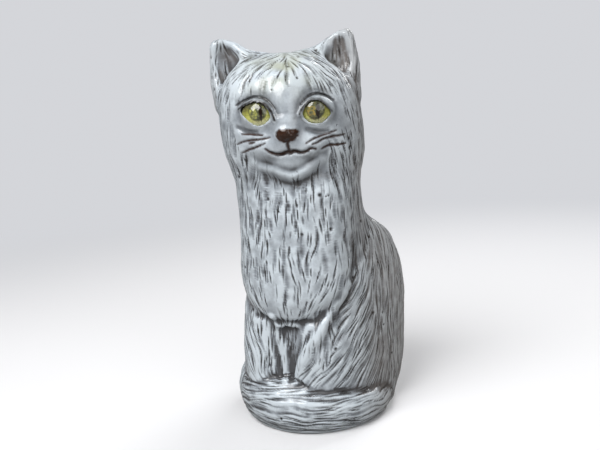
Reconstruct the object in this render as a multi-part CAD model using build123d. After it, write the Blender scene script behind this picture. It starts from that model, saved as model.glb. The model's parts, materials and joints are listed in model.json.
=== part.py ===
from build123d import *
import os
from math import atan2, cos, radians, sin, sqrt

# A hand-built ceramic cat: a seated, hollow stoneware figure with its tail wrapped round its feet.
#
# It is made as a potter makes it, from separate pieces of clay. Each one is pressed onto the pieces
# before it, so its seat is a shared face: the earlier pieces are cut out of it. Torso and head are
# hollow shells on a base disc with a vent hole, and everything else is solid clay.
#
# Units are millimetres. The cat faces -Y, +Z is up and +X is its own left. Pieces are modelled with the
# torso over x = 0, y = 0, and the whole figure is then moved so that the middle of its footprint is there.

# Overall sizes
neck_height = 112.0  # table to the seam between torso and head
head_height = 56.5  # from that seam to the top of the skull
ear_tip_rise = 10.0  # ear tips above the top of the skull
torso_width = 64.0  # without the haunches
torso_depth = 63.0
head_width = 65.0
head_depth = 58.0
head_turn = 18.0  # degrees, towards the cat's own left
neck_x = -0.6  # the head turns about this line
neck_y = -10.3
crown_sway = -3.5  # the crown leans over to the cat's own right

# Clay and foot
clay_wall = 6.0
base_thickness = 6.0
vent_radius = 5.0
vent_y = 5.0

# Haunches
haunch_height = 89.0
haunch_x = 18.8
haunch_y = -3.0
haunch_half_width = 15.0
haunch_half_depth = 34.0
haunch_turn_left = 20.0  # degrees, each knee comes in towards the middle
haunch_turn_right = 9.0

# Forelegs
foreleg_spacing = 21.0  # between the middles of the two forelegs
foreleg_y = -25.0
foreleg_half_width = 10.4
foreleg_half_depth = 10.2
foreleg_top = 62.0  # well under the ruff

# Chest ruff
ruff_low = 49.0
ruff_above_neck = 7.0
ruff_y = -20.5
ruff_half_width = 26.5
ruff_half_depth = 18.5

# Tail
tail_path_x = 31.0  # half the width of the oval that the tail follows
tail_path_y = 33.5
tail_path_middle_y = -1.5
tail_half_height = 13.0
tail_half_thickness = 8.5
tail_root_angle = 112.0  # degrees round the oval from the cat's left, by way of its back
tail_tip_angle = 378.0

# Ears
ear_spacing = 40.0  # between the middles of the two feet
ear_foot_drop = 18.5  # below the top of the skull
ear_foot_y = -1.0
ear_lean = 18.0  # degrees, outwards
ear_toe_out = 10.0  # degrees, each ear faces a little outwards
ear_half_width = 12.5
ear_half_depth = 6.5
ear_cup_half_width = 8.2
ear_cup_half_height = 15.0
ear_cup_depth = 4.6

# Eyes and lids, in the head's own frame
eye_above_neck = 31.0
eye_spacing = 26.5
eye_half_width = 7.0
eye_half_height = 6.0
eye_half_depth = 3.5
eye_proud = 1.5  # how far the ball stands out of the skin of the head
lid_margin = 2.3  # how far a lid reaches past the ball
lid_proud = 1.1  # how far a lid stands out past the ball
lid_gap_half = 4.0  # half the height of the slot between the lids

# Nose, muzzle and chin, in the head's own frame
bridge_low_above_neck = 18.0
bridge_high_above_neck = 46.0
bridge_half_width = 5.2
bridge_half_depth = 4.4
bridge_proud = 2.4
nose_above_neck = 22.0
nose_half_width = 4.6
nose_half_height = 3.0
nose_half_depth = 3.6
nose_proud = 4.6
muzzle_above_neck = 17.0
muzzle_spacing = 13.0
muzzle_half_width = 8.4
muzzle_half_height = 6.2
muzzle_half_depth = 5.5
muzzle_proud = 2.8
chin_above_neck = 9.0
chin_half_width = 8.0
chin_half_height = 4.6
chin_half_depth = 5.0
chin_proud = 2.6

crown_height = neck_height + head_height
ear_tip_height = crown_height + ear_tip_rise
ear_foot_height = crown_height - ear_foot_drop
ruff_high = neck_height + ruff_above_neck
eye_height = neck_height + eye_above_neck
bridge_low = neck_height + bridge_low_above_neck
bridge_high = neck_height + bridge_high_above_neck
nose_height = neck_height + nose_above_neck
muzzle_height = neck_height + muzzle_above_neck
chin_height = neck_height + chin_above_neck
torso_half_width = torso_width / 2
torso_half_depth = torso_depth / 2
head_half_width = head_width / 2
head_half_depth = head_depth / 2

# An egg's ovals, from its middle to each end
egg_steps = 6
egg_last_latitude = 78.0

# Each row of a form is one level oval, in shares of the form's own sizes: how far up it lies, how far its
# middle is moved in y (by half depths), its half width and its half depth.
torso_form = [
    (0.00, 0.16, 0.94, 0.94),
    (0.12, 0.20, 1.00, 1.00),
    (0.32, 0.22, 1.00, 1.00),
    (0.54, 0.10, 0.96, 0.96),
    (0.72, -0.08, 0.92, 0.89),
    (0.88, -0.24, 0.90, 0.85),
    (1.00, -0.31, 0.92, 0.85),
]
head_form = [
    (0.00, 0.00, 0.91, 0.92),
    (0.18, -0.02, 0.97, 0.96),
    (0.41, -0.05, 1.00, 1.00),
    (0.62, -0.06, 0.97, 0.98),
    (0.80, -0.04, 0.87, 0.88),
    (0.91, 0.00, 0.70, 0.69),
    (0.98, 0.02, 0.42, 0.42),
    (1.00, 0.02, 0.20, 0.20),
]
haunch_form = [
    (0.00, -0.05, 0.76, 0.80),
    (0.14, -0.03, 0.92, 0.94),
    (0.30, 0.00, 1.00, 1.00),
    (0.50, 0.07, 0.99, 0.98),
    (0.67, 0.16, 0.94, 0.88),
    (0.81, 0.24, 0.81, 0.71),
    (0.92, 0.30, 0.60, 0.50),
    (0.98, 0.33, 0.38, 0.30),
    (1.00, 0.34, 0.18, 0.14),
]
foreleg_form = [
    (0.00, 0.00, 1.00, 0.92),
    (0.25, 0.00, 1.00, 0.92),
    (0.55, 0.00, 0.94, 0.94),
    (1.00, 0.05, 1.00, 1.00),
]
ruff_form = [
    (0.00, -0.46, 0.34, 0.30),
    (0.07, -0.30, 0.64, 0.58),
    (0.22, -0.12, 0.92, 0.88),
    (0.46, 0.00, 1.00, 1.00),
    (0.72, 0.02, 1.00, 0.98),
    (0.90, 0.06, 0.92, 0.86),
    (1.00, 0.20, 0.66, 0.56),
]
ear_form = [
    (0.00, 0.00, 1.00, 1.00),
    (0.30, 0.00, 0.93, 0.92),
    (0.60, 0.04, 0.66, 0.70),
    (0.84, 0.10, 0.34, 0.44),
    (1.00, 0.14, 0.10, 0.20),
]
# Tail rows are: how far along, outward shift, half thickness and half height, again in shares.
tail_form = [
    (0.00, -0.10, 0.80, 0.78),
    (0.14, 0.00, 0.95, 0.95),
    (0.30, 0.00, 1.00, 1.00),
    (0.45, 0.02, 1.00, 1.00),
    (0.60, 0.04, 0.98, 0.93),
    (0.74, 0.02, 0.90, 0.76),
    (0.87, 0.00, 0.76, 0.58),
    (0.96, -0.02, 0.54, 0.40),
    (1.00, -0.04, 0.26, 0.20),
]


def oval_stack(form, low, high, middle, half_width, half_depth, turn=0.0, inset=0.0, sway=0.0):
    # A smooth closed form through the level ovals of a form table. Sway moves the top over in x.
    sections = []
    for share, shift, wide, deep in form:
        level = Plane((sway * share, shift * half_depth, low + share * (high - low)))
        sections.append(level * Ellipse(wide * half_width - inset, deep * half_depth - inset))
    return Pos(middle[0], middle[1], 0) * Rot(0, 0, turn) * loft(sections)


def egg(middle, half_sizes, lean=0.0, turn=0.0):
    # An egg of clay through level ovals. It leans about X and then turns about Z, both in degrees.
    half_x, half_y, half_z = half_sizes
    sections = []
    for step in range(-egg_steps, egg_steps + 1):
        latitude = radians(egg_last_latitude * step / egg_steps)
        level = Plane((0, 0, half_z * sin(latitude)))
        sections.append(level * Ellipse(half_x * cos(latitude), half_y * cos(latitude)))
    return Pos(*middle) * Rot(0, 0, turn) * Rot(lean, 0, 0) * loft(sections)


def pressed_onto(piece, *earlier):
    # The piece with its seats cut to fit the earlier pieces, as one solid.
    for other in earlier:
        piece = piece - other
    return max(piece.solids(), key=lambda solid: solid.volume)


def above(height):
    # A large block that stands on a level.
    size = 4 * ear_tip_height
    return Pos(0, 0, height + size / 2) * Box(size, size, size)


def left_and_right(name, build):
    # Builds a mirrored pair. Side is +1 on the cat's left and -1 on its right.
    return {name + "_left": build(1), name + "_right": build(-1)}


# Torso and base

def torso_skin(inset=0.0):
    return oval_stack(
        torso_form, 0, neck_height, (0, 0), torso_half_width, torso_half_depth, inset=inset, sway=neck_x
    )


def build_torso():
    return pressed_onto(torso_skin() & above(base_thickness), torso_skin(clay_wall))


def build_base():
    vent = Pos(0, vent_y, 0) * Cylinder(vent_radius, 4 * base_thickness)
    return pressed_onto(torso_skin(), above(base_thickness), vent)


# Head. Its pieces are made in the head's own frame, with the neck's middle at x = 0, y = 0.

def on_head(piece):
    return Pos(neck_x, neck_y, 0) * Rot(0, 0, head_turn) * piece


def head_skin():
    return oval_stack(
        head_form, neck_height, crown_height, (0, 0), head_half_width, head_half_depth, sway=crown_sway
    )


def head_hollow():
    # The hollow keeps the wall under the crown, and it has no narrow last oval.
    top = crown_height - clay_wall
    return oval_stack(
        head_form[:-1], neck_height, top, (0, 0), head_half_width, head_half_depth, inset=clay_wall,
        sway=crown_sway
    )


def head_oval_at(height):
    # Middle x, middle y, half width and half depth of the head at a height.
    share = (height - neck_height) / (crown_height - neck_height)
    for lower, upper in zip(head_form, head_form[1:]):
        if lower[0] <= share <= upper[0]:
            part = (share - lower[0]) / (upper[0] - lower[0])
            shift, wide, deep = [a + part * (b - a) for a, b in zip(lower[1:], upper[1:])]
            middle = (crown_sway * share, shift * head_half_depth)
            return *middle, wide * head_half_width, deep * head_half_depth
    raise ValueError("this height is not on the head")


def face_y(x, height, proud=0.0):
    # The y of the face's skin, or of a point that stands proud of it.
    middle_x, middle_y, half_width, half_depth = head_oval_at(height)
    return middle_y - half_depth * sqrt(1 - ((x - middle_x) / half_width) ** 2) - proud


def face_turn(x, height):
    # The turn about Z that lays a piece flat on the face at x.
    middle_x, middle_y, half_width, half_depth = head_oval_at(height)
    across = (x - middle_x) / half_width
    return atan2(half_depth * across, half_width * sqrt(1 - across ** 2)) / radians(1)


def eye_egg(side, margin=0.0, proud=0.0):
    x = side * eye_spacing / 2
    middle_y = face_y(x, eye_height, eye_proud) + eye_half_depth - proud
    half_sizes = (eye_half_width + margin, eye_half_depth, eye_half_height + margin)
    return egg((x, middle_y, eye_height), half_sizes, turn=face_turn(x, eye_height))


def build_eye(side):
    return eye_egg(side)


def build_upper_lid(side):
    lid = eye_egg(side, lid_margin, lid_proud) & above(eye_height + lid_gap_half)
    return pressed_onto(lid, head_skin(), eye_egg(side))


def build_lower_lid(side):
    lid = eye_egg(side, lid_margin, lid_proud) - above(eye_height - lid_gap_half)
    return pressed_onto(lid, head_skin(), eye_egg(side))


def build_bridge():
    middle_height = (bridge_low + bridge_high) / 2
    lean_run = face_y(0, bridge_high) - face_y(0, bridge_low)
    lean = lean_run / (bridge_high - bridge_low) / radians(1)
    middle_y = face_y(0, middle_height, bridge_proud) + bridge_half_depth
    half_sizes = (bridge_half_width, bridge_half_depth, (bridge_high - bridge_low) / 2)
    return egg((0, middle_y, middle_height), half_sizes, lean=-lean)


def build_muzzle_pad(side):
    x = side * muzzle_spacing / 2
    middle_y = face_y(x, muzzle_height, muzzle_proud) + muzzle_half_depth
    half_sizes = (muzzle_half_width, muzzle_half_depth, muzzle_half_height)
    pad = egg((x, middle_y, muzzle_height), half_sizes, turn=face_turn(x, muzzle_height))
    own_half = Pos(side * head_width, 0, muzzle_height) * Box(2 * head_width, 4 * head_depth, head_width)
    return pad & own_half


def build_nose_tip():
    middle_y = face_y(0, nose_height, nose_proud) + nose_half_depth
    return egg((0, middle_y, nose_height), (nose_half_width, nose_half_depth, nose_half_height))


def build_chin():
    middle_y = face_y(0, chin_height, chin_proud) + chin_half_depth
    return egg((0, middle_y, chin_height), (chin_half_width, chin_half_depth, chin_half_height))


def build_ear(side):
    length = (ear_tip_height - ear_foot_height) / cos(radians(ear_lean))
    leaf = oval_stack(ear_form, 0, length, (0, 0), ear_half_width, ear_half_depth)
    cup = egg((0, -ear_half_depth, 0.42 * length), (ear_cup_half_width, ear_cup_depth, ear_cup_half_height))
    foot = Pos(crown_sway + side * ear_spacing / 2, ear_foot_y, ear_foot_height)
    return foot * Rot(0, side * ear_lean, 0) * Rot(0, 0, side * ear_toe_out) * (leaf - cup)


# Limbs, ruff and tail

def build_haunch(side):
    turn = -haunch_turn_left if side > 0 else haunch_turn_right
    return oval_stack(
        haunch_form, 0, haunch_height, (side * haunch_x, haunch_y),
        haunch_half_width, haunch_half_depth, turn=turn
    )


def build_foreleg(side):
    leg = oval_stack(
        foreleg_form, 0, foreleg_top, (side * foreleg_spacing / 2, foreleg_y),
        foreleg_half_width, foreleg_half_depth
    )
    own_half = Pos(side * torso_width, 0, 0) * Box(2 * torso_width, 4 * torso_depth, 4 * foreleg_top)
    return leg & own_half


def build_ruff():
    return oval_stack(ruff_form, ruff_low, ruff_high, (0, ruff_y), ruff_half_width, ruff_half_depth)


def build_tail():
    # Upright ovals along a level oval path. The underside is then cut flat on the table.
    sections = []
    for share, shift, thick, tall in tail_form:
        angle = radians(tail_root_angle + share * (tail_tip_angle - tail_root_angle))
        outward = Vector(cos(angle) / tail_path_x, sin(angle) / tail_path_y, 0).normalized()
        middle = Vector(tail_path_x * cos(angle), tail_path_middle_y + tail_path_y * sin(angle), 0)
        middle = middle + outward * (shift * tail_half_thickness)
        middle = middle + Vector(0, 0, 0.9 * tall * tail_half_height)
        along = Vector(0, 0, 1).cross(outward)
        section = Plane(origin=middle, x_dir=outward, z_dir=along)
        sections.append(section * Ellipse(thick * tail_half_thickness, tall * tail_half_height))
    return loft(sections) & above(0)


def build_cat():
    # Every piece in the order in which the potter adds it. Seats are cut with the earlier pieces' whole
    # forms, which are simpler than the cut pieces and hold the same space.
    sides = (1, -1)
    skin = torso_skin()
    haunches = [build_haunch(side) for side in sides]
    forelegs = [build_foreleg(side) for side in sides]
    cat = {"base_disc": build_base(), "torso_shell": build_torso()}
    cat.update(left_and_right("haunch", lambda side: pressed_onto(build_haunch(side), skin)))
    cat.update(left_and_right("foreleg", lambda side: pressed_onto(build_foreleg(side), skin, *haunches)))
    cat["tail"] = pressed_onto(build_tail(), skin, *haunches, *forelegs)

    head = head_skin()
    eyes = [build_eye(side) for side in sides]
    lids = [eye_egg(side, lid_margin, lid_proud) for side in sides]
    bridge = build_bridge()
    pads = [build_muzzle_pad(side) for side in sides]
    face = {"head_shell": pressed_onto(head, head_hollow(), *eyes)}
    face.update(left_and_right("eye", build_eye))
    face.update(left_and_right("upper_lid", build_upper_lid))
    face.update(left_and_right("lower_lid", build_lower_lid))
    face["nose_bridge"] = pressed_onto(bridge, head, *lids)
    face.update(left_and_right(
        "muzzle_pad", lambda side: pressed_onto(build_muzzle_pad(side), head, bridge, *lids)
    ))
    face["nose_tip"] = pressed_onto(build_nose_tip(), head, bridge, *pads)
    face["chin"] = pressed_onto(build_chin(), head, *pads)
    face.update(left_and_right("ear", lambda side: pressed_onto(build_ear(side), head)))
    for name, piece in face.items():
        cat[name] = on_head(piece)

    neck_pieces = [on_head(head), on_head(build_chin())]
    cat["chest_ruff"] = pressed_onto(build_ruff(), skin, *neck_pieces, *haunches, *forelegs)
    return cat


cat = build_cat()
footprint = Compound(list(cat.values())).bounding_box()
to_origin = Pos(-footprint.center().X, -footprint.center().Y, 0)
print("moved to the origin by", round(to_origin.position.X, 4), round(to_origin.position.Y, 4))

os.makedirs("parts", exist_ok=True)
for name, piece in cat.items():
    export_step(to_origin * piece, f"parts/{name}.step")
    print(name, round(piece.volume))
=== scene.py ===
import json
from math import cos, pi, radians, sin

import bpy
import numpy as np
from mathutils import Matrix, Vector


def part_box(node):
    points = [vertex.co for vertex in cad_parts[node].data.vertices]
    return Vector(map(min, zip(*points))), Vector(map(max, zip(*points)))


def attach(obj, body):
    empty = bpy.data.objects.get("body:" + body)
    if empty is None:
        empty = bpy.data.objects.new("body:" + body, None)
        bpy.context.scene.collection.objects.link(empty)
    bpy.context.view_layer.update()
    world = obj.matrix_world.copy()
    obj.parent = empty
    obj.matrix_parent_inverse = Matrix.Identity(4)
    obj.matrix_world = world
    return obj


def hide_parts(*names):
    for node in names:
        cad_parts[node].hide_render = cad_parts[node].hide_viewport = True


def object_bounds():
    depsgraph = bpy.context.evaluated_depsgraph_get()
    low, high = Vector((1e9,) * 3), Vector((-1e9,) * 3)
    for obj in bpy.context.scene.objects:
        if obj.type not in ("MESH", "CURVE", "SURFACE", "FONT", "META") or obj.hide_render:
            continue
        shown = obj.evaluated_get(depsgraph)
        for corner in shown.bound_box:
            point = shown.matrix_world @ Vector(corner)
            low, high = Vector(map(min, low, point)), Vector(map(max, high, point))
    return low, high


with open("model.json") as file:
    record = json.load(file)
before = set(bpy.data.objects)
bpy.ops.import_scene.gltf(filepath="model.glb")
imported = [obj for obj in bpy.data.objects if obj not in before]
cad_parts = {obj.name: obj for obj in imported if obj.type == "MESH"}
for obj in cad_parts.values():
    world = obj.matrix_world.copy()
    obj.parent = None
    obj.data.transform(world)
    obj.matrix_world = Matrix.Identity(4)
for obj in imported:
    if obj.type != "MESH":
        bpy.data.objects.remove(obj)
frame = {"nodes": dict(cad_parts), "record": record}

import openvdb
from mathutils import Matrix, Vector

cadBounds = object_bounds()
ventHole = next(mount for mount in frame["record"]["mounts"] if mount["name"] == "vent_hole")
mm = 0.001
rng = np.random.default_rng(41)

clay = {
    "voxel": 0.5,  # mm, size of the clay grid and so of the faces
    "band": 5.0,  # mm each side of a piece that the grid holds
    "softening": 0.55,  # mm, the wet sponge over everything
    "skin": 2.4,  # mm, depth of each modelled piece under its surface
}
# How softly each piece runs into the ones before it, in mm
joins = {
    "base_disc": 1.0, "torso_shell": 1.0, "head_shell": 1.5,
    "haunch_left": (1.2, 6.0), "haunch_right": (1.6, 6.0),
    "foreleg_left": 3.0, "foreleg_right": 3.0, "tail": 1.6, "chest_ruff": (1.2, 7.0),
    "ear_left": 7.0, "ear_right": 7.0, "nose_bridge": 6.0, "muzzle_pad_left": 3.0,
    "muzzle_pad_right": 3.0, "nose_tip": 1.6, "chin": 2.4,
}
grow = {  # mm of clay rubbed onto a piece in front of y and under z, each fading in over a length
    "haunch_left": {"by": 1.5, "front": -4, "frontFade": 12, "top": 96, "topFade": 14},
    "haunch_right": {"by": 0.9, "front": -4, "frontFade": 12, "top": 90, "topFade": 14},
    "chest_ruff": {"by": 0.9, "front": -10, "frontFade": 10, "top": 84, "topFade": 22},
}
haunchBack = {"from": -4, "over": 14, "blend": 10.0}  # where y passes this the haunches run into the body
neckSmear = {"softening": 3.2, "below": 40, "belowFade": 14, "above": 12, "aboveFade": 9}  # mm
pieceNames = list(joins)
pieceNames += ["upper_lid_left", "upper_lid_right", "lower_lid_left", "lower_lid_right"]

# The head's own frame: where it turns on the neck. Face places below are (x, z) in it, in mm,
# with x = 0 in the middle of the face and +x on the cat's left.
eyeLeftMiddle = (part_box("eye_left")[0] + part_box("eye_left")[1]) / 2
eyeRightMiddle = (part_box("eye_right")[0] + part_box("eye_right")[1]) / 2
faceAcross = (eyeLeftMiddle - eyeRightMiddle).normalized()
faceOut = faceAcross.cross(Vector((0, 0, 1))).normalized()
faceMiddle = (eyeLeftMiddle + eyeRightMiddle) / 2


def toFace(points):
    # (x, depth, z) of points in the face's frame: x across, depth towards the viewer of the face
    away = points - np.array(faceMiddle) / mm
    x = away @ np.array(faceAcross)
    out = away @ np.array(faceOut)
    return np.stack([x, out, points[..., 2]], -1)


def fromFace(x, out, z):
    base = np.array(faceMiddle) / mm
    flat = base + x * np.array(faceAcross) + out * np.array(faceOut)
    return np.array([flat[0], flat[1], z])


# Grid of clay

step = clay["voxel"]
margin = int(np.ceil(clay["band"] / step)) + 2
gridLow = np.floor(np.array(cadBounds[0]) / mm / step).astype(int) - margin
gridHigh = np.ceil(np.array(cadBounds[1]) / mm / step).astype(int) + margin
gridShape = tuple(gridHigh - gridLow + 1)


def cadTriangles(name):
    mesh = frame["nodes"][name].data
    mesh.calc_loop_triangles()
    points = np.empty(len(mesh.vertices) * 3, np.float32)
    mesh.vertices.foreach_get("co", points)
    corners = np.empty(len(mesh.loop_triangles) * 3, np.int32)
    mesh.loop_triangles.foreach_get("vertices", corners)
    return points.reshape(-1, 3) / np.float32(mm), corners.reshape(-1, 3).astype(np.uint32)


def cadField(name):
    # Signed distance from a CAD piece, in mm, and where its block starts in the grid
    points, triangles = cadTriangles(name)
    grid = openvdb.FloatGrid.createLevelSetFromPolygons(
        points, triangles=triangles, transform=openvdb.createLinearTransform(step),
        halfWidth=clay["band"] / step,
    )
    low = np.maximum(np.floor(points.min(0) / step).astype(int) - margin, gridLow)
    high = np.minimum(np.ceil(points.max(0) / step).astype(int) + margin, gridHigh)
    block = np.empty(tuple(high - low + 1), np.float32)
    grid.copyToArray(block, ijk=tuple(int(v) for v in low))
    start = low - gridLow
    return tuple(slice(a, a + n) for a, n in zip(start, block.shape)), block


def softUnion(a, b, blend):
    overlap = np.maximum(blend - np.abs(a - b), 0) / blend
    return np.minimum(a, b) - overlap * overlap * (blend / 4)


def softCut(a, b, blend):
    # a without b
    return -softUnion(-a, b, blend)


def blurred(values, sigma):
    reach = int(np.ceil(2.5 * sigma / step))
    taps = np.exp(-0.5 * (np.arange(-reach, reach + 1) * step / sigma) ** 2)
    taps = (taps / taps.sum()).astype(np.float32)
    for axis in range(3):
        size = values.shape[axis]
        padded = np.concatenate([
            np.repeat(values.take([0], axis), reach, axis), values,
            np.repeat(values.take([size - 1], axis), reach, axis)], axis)
        total = np.zeros_like(values)
        for shift, tap in enumerate(taps):
            cut = [slice(None)] * 3
            cut[axis] = slice(shift, shift + size)
            total += tap * padded[tuple(cut)]
        values = total
    return values


def fadeIn(values, start, over):
    # 0 before start, 1 once past it by the length over
    return np.clip((values - start) / over, 0, 1)


def gridLine(window, axis):
    # mm along one axis of a block of the grid
    line = (np.arange(window[axis].start, window[axis].stop) + gridLow[axis]) * step
    return line.reshape([-1 if axis == other else 1 for other in range(3)])


def windowOf(low, high):
    # The block of the grid between two corners in mm, and the places of its points
    low = np.maximum(np.floor(np.array(low) / step).astype(int) - gridLow, 0)
    high = np.minimum(np.ceil(np.array(high) / step).astype(int) - gridLow, np.array(gridShape) - 1)
    window = tuple(slice(a, b) for a, b in zip(low, high))
    index = [np.arange(cut.start, cut.stop) + gridLow[axis] for axis, cut in enumerate(window)]
    return window, np.stack(np.meshgrid(*index, indexing="ij"), -1) * step


def joinBlend(name, window):
    # A pair of blends runs from crisp at the foot of a piece to soft at its top
    blend = joins[name]
    if isinstance(blend, tuple):
        low, high = (corner.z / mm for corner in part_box(name))
        share = np.clip((gridLine(window, 2) - low) / (high - low) * 1.6 - 0.5, 0, 1)
        blend = (blend[0] * (1 - share) + blend[1] * share).astype(np.float32)
    if name.startswith("haunch"):  # the back of a haunch is smeared right into the body
        back = fadeIn(gridLine(window, 1), haunchBack["from"], haunchBack["over"]).astype(np.float32)
        blend = blend * (1 - back) + haunchBack["blend"] * back
    return blend


field = np.full(gridShape, clay["band"], np.float32)
nearest = np.full(gridShape, clay["band"], np.float32)
owner = np.zeros(gridShape, np.int8)

for index, name in enumerate(pieceNames):
    window, block = cadField(name)
    if name in joins:
        grown = block
        if name in grow:
            more = grow[name]
            share = fadeIn(-gridLine(window, 1), -more["front"], more["frontFade"])
            share = share * fadeIn(-gridLine(window, 2), -more["top"], more["topFade"])
            grown = (block - more["by"] * share).astype(np.float32)
        field[window] = softUnion(field[window], grown, joinBlend(name, window))
    closer = block < nearest[window]
    nearest[window][closer] = block[closer]
    owner[window][closer] = index
    if name == "head_shell":  # the hollow is clay too, while the outside is being shaped
        wall = field < 0
        closed = np.ones(gridShape, bool)
        for axis in (0, 1):
            closed &= np.logical_or.accumulate(wall, axis)
            closed &= np.flip(np.logical_or.accumulate(np.flip(wall, axis), axis), axis)
        field[closed & ~wall] = -3.0
        del wall, closed
print("clay grid", gridShape)

# Head and torso are smeared together round the neck
heights = (np.arange(gridShape[2]) + gridLow[2]) * step
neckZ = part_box("torso_shell")[1].z / mm
softer = fadeIn(heights, neckZ - neckSmear["below"], neckSmear["belowFade"])
softer = (softer * fadeIn(-heights, -neckZ - neckSmear["above"], neckSmear["aboveFade"])).astype(np.float32)
plain = blurred(field, clay["softening"])
neckCut = slice(*np.searchsorted(heights, [neckZ - neckSmear["below"] - 1, neckZ + neckSmear["above"] + 2]))
smeared = blurred(field[:, :, neckCut], neckSmear["softening"])
field = plain
field[:, :, neckCut] += softer[neckCut] * (smeared - plain[:, :, neckCut])
del smeared, plain


def sampled(values, places):
    # Trilinear reading of a grid at places in mm
    at = places / step - gridLow
    base = np.clip(np.floor(at).astype(int), 0, np.array(gridShape) - 2)
    part = np.clip(at - base, 0, 1)
    total = 0
    for corner in np.ndindex(2, 2, 2):
        weight = np.prod(np.where(corner, part, 1 - part), axis=1)
        spot = base + corner
        total = total + weight * values[spot[:, 0], spot[:, 1], spot[:, 2]]
    return total


def slopeAt(places, reach=0.6):
    total = np.empty_like(places)
    for axis in range(3):
        shift = np.zeros(3)
        shift[axis] = reach
        total[:, axis] = sampled(field, places + shift) - sampled(field, places - shift)
    return total / np.maximum(np.linalg.norm(total, axis=1, keepdims=True), 1e-9)


def ontoSkin(places, rounds=2):
    for turn in range(rounds):
        places = places - sampled(field, places)[:, None] * slopeAt(places)
    return places


# The face, worked into the wet clay

face = {
    # the part of the head that is worked
    "across": 27.0, "behind": -16, "ahead": 14, "lowZ": neckZ - 3, "highZ": neckZ + 57,
    "browZ": neckZ + 24, "browTop": neckZ + 54, "thumb": 3.0,  # mm, how softly the brow is rubbed
    "lidSkin": 0.6,  # mm of clay over the ball outside the opening
    "lidDepth": 5.0, "rim": 0.35, "crease": 0.55,
    "ballDepth": 4.4, "ballProud": 0.1,
}
# Eye openings: outer corner, over the top to the inner corner, and back under the ball. Each ball is
# turned a little outwards, square to the face's skin there.
eyes = {
    "left": {
        "node": "eye_left", "turn": 0.33, "halfWidth": 7.0, "halfHeight": 6.2, "middle": (12.5, 142.6),
        "upper": [(18.7, 141.6), (16.7, 144.0), (14.5, 146.2), (11.9, 147.0), (9.3, 146.3),
                  (7.1, 144.2), (5.5, 141.2)],
        "lower": [(6.5, 138.2), (9.1, 136.7), (11.9, 136.3), (14.7, 137.2), (17.1, 139.2)],
        "crease": [(6.3, 145.2), (7.9, 147.2), (10.3, 148.9), (13.1, 149.2), (16.1, 148.4),
                   (19.5, 146.2)],
        "socket": [(3.7, 140.0), (4.7, 145.4), (8.1, 149.4), (13.1, 151.0), (18.7, 149.6)],
        "iris": (12.0, 142.5), "slit": (13.0, 142.2),
    },
    "right": {
        "node": "eye_right", "turn": -0.33, "halfWidth": 7.0, "halfHeight": 6.2, "middle": (-12.3, 142.6),
        "upper": [(-20.5, 145.0), (-17.5, 146.4), (-14.3, 147.6), (-10.9, 147.3), (-7.8, 145.6),
                  (-5.8, 142.6), (-4.9, 139.4)],
        "lower": [(-6.9, 138.4), (-9.3, 137.5), (-11.9, 137.6), (-14.9, 138.9), (-17.7, 141.6)],
        "crease": [(-21.5, 146.8), (-17.7, 148.4), (-14.1, 149.6), (-10.3, 149.3), (-6.9, 147.4),
                   (-4.5, 144.2)],
        "socket": [(-21.3, 148.4), (-15.9, 150.6), (-9.9, 150.6), (-5.3, 147.4), (-3.3, 141.6)],
        "iris": (-11.8, 143.3), "slit": (-10.5, 143.0),
    },
}
mouth = {
    "line": [(-9.6, 127.9), (-7.6, 126.3), (-5.0, 125.2), (-2.6, 125.4), (-0.2, 126.4), (0.5, 125.5),
             (2.2, 126.6), (5.0, 125.4), (7.6, 125.9), (9.2, 127.2), (11.2, 126.6)],
    "philtrum": [(-0.1, 131.2), (-0.2, 128.8), (0.5, 125.6)],
    "underLip": [(-11.8, 122.8), (-8.4, 122.0), (-5.4, 120.8), (-2.4, 119.2), (0.8, 118.5), (3.8, 119.4),
                 (6.6, 121.2), (9.4, 123.2), (11.8, 125.2)],
    "lip": [(-8.4, 124.6), (-3.2, 122.4), (0.8, 121.8), (4.6, 122.6), (8.8, 125.0)],
    "chinRidge": [(-12.6, 119.9), (-8.4, 118.9), (-3.2, 116.6), (1.2, 115.4), (5.6, 117.2),
                  (9.6, 119.4), (13.4, 122.0)],
}
underEyes = [[(-21.6, 137.4), (-17.6, 135.4), (-13.2, 135.2)], [(8.4, 134.8), (12.2, 133.2), (16.4, 133.6)]]
whiskers = [
    [(-19.9, 134.5), (-15.2, 134.2), (-10.6, 133.6)],
    [(-22.6, 130.3), (-19.6, 131.2), (-17.0, 131.7), (-12.0, 131.9), (-7.4, 132.5)],
    [(-16.8, 130.4), (-14.4, 130.8)],
    [(-20.6, 126.6), (-17.4, 127.7), (-14.8, 128.4), (-9.6, 130.3)],
    [(7.4, 129.2), (10.0, 130.6), (11.8, 131.4), (15.4, 132.3), (20.2, 133.6)],
    [(10.2, 128.7), (12.6, 129.4), (14.5, 130.7), (18.1, 131.1), (23.6, 131.7)],
    [(13.6, 126.5), (16.4, 127.8), (20.0, 127.5), (23.8, 127.9)],
]


def rounded(line, turns=2):
    # A polyline with its corners cut, as a finger would draw it
    line = np.array(line, float)
    for turn in range(turns):
        near = 0.75 * line[:-1] + 0.25 * line[1:]
        far = 0.25 * line[:-1] + 0.75 * line[1:]
        line = np.concatenate([line[:1], np.stack([near, far], 1).reshape(-1, line.shape[1]), line[-1:]])
    return line


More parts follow.
